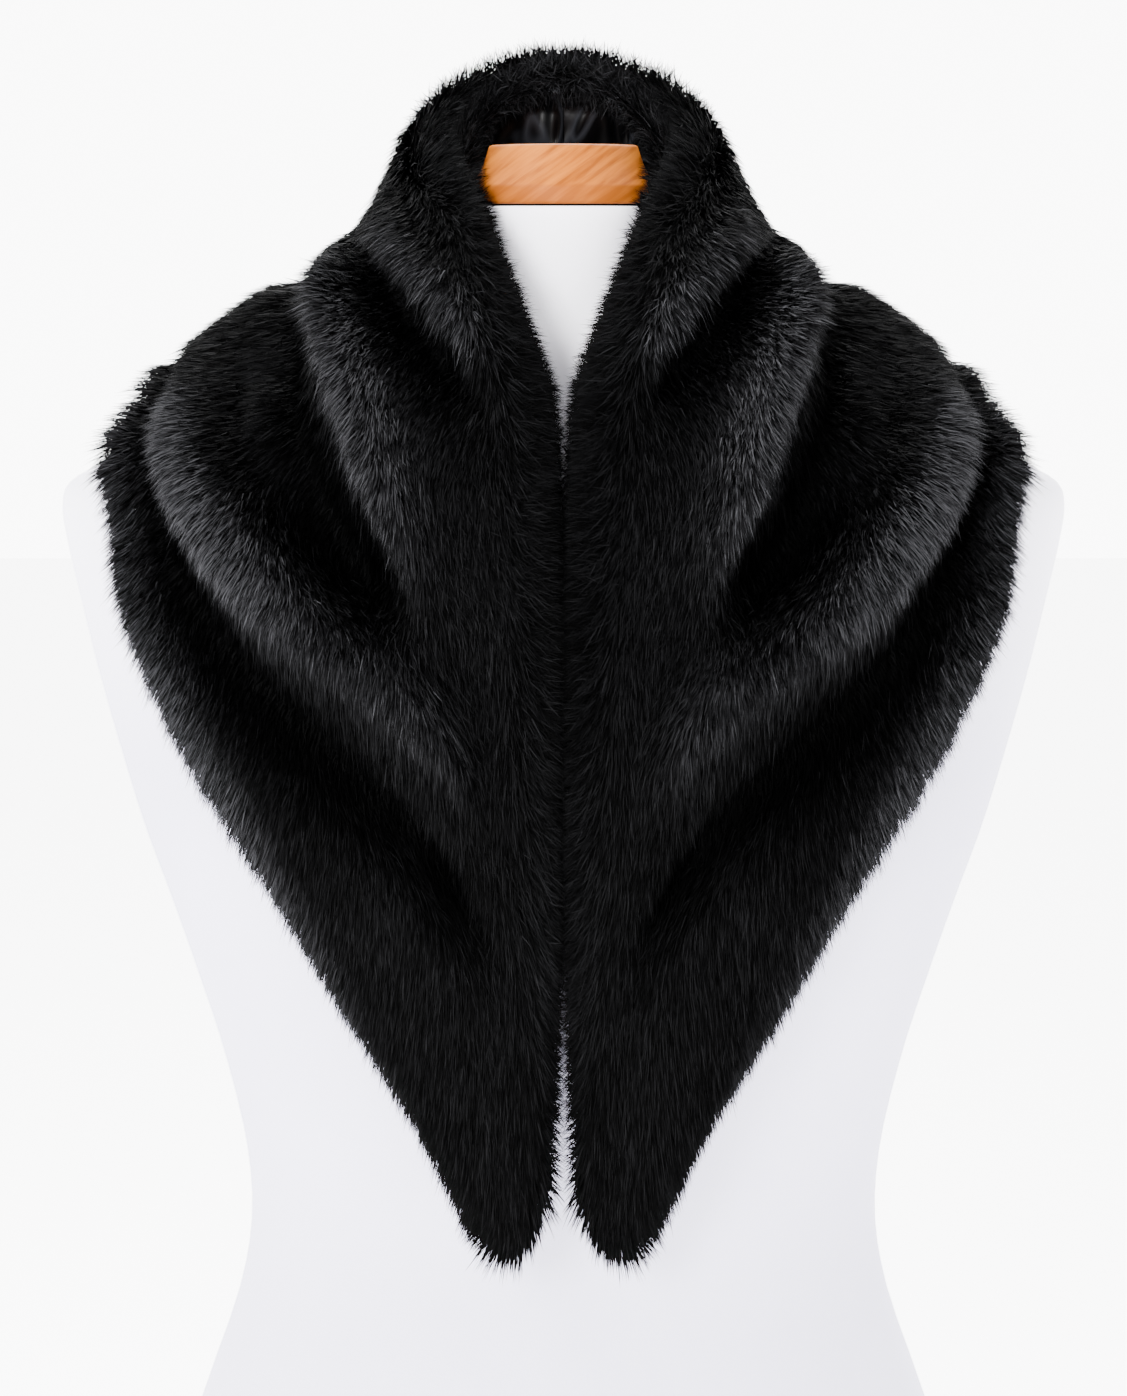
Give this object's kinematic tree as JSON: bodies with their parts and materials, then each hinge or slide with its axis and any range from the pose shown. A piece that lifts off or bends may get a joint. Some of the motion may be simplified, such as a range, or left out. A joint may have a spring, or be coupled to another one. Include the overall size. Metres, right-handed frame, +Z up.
{
  "type": "fur collar wrap on dress form",
  "caption": "Black long-pile fur shawl-collar wrap with a satin lining, closed edge to edge down the front, on a limbless white dress form with a wooden neck cap.",
  "frame": {"origin": "on the floor, at the middle of the part's width and depth, under the dress form", "axes": "+Z up, the front of the wrap faces -Y, +X is the wearer's left; the part is symmetric about X = 0"},
  "size_m": [0.418, 0.2836, 0.7333],
  "materials": {
    "fur": "long soft pile, half matt",
    "lining": "satin",
    "form": "matt, fine knit cover",
    "cap": "satin lacquer"
  },
  "bodies": {
    "root": {"fur_left": "fur", "fur_right": "fur", "lining_left": "lining", "lining_right": "lining", "form_torso": "form", "neck_cap": "cap"}
  },
  "joints": []
}
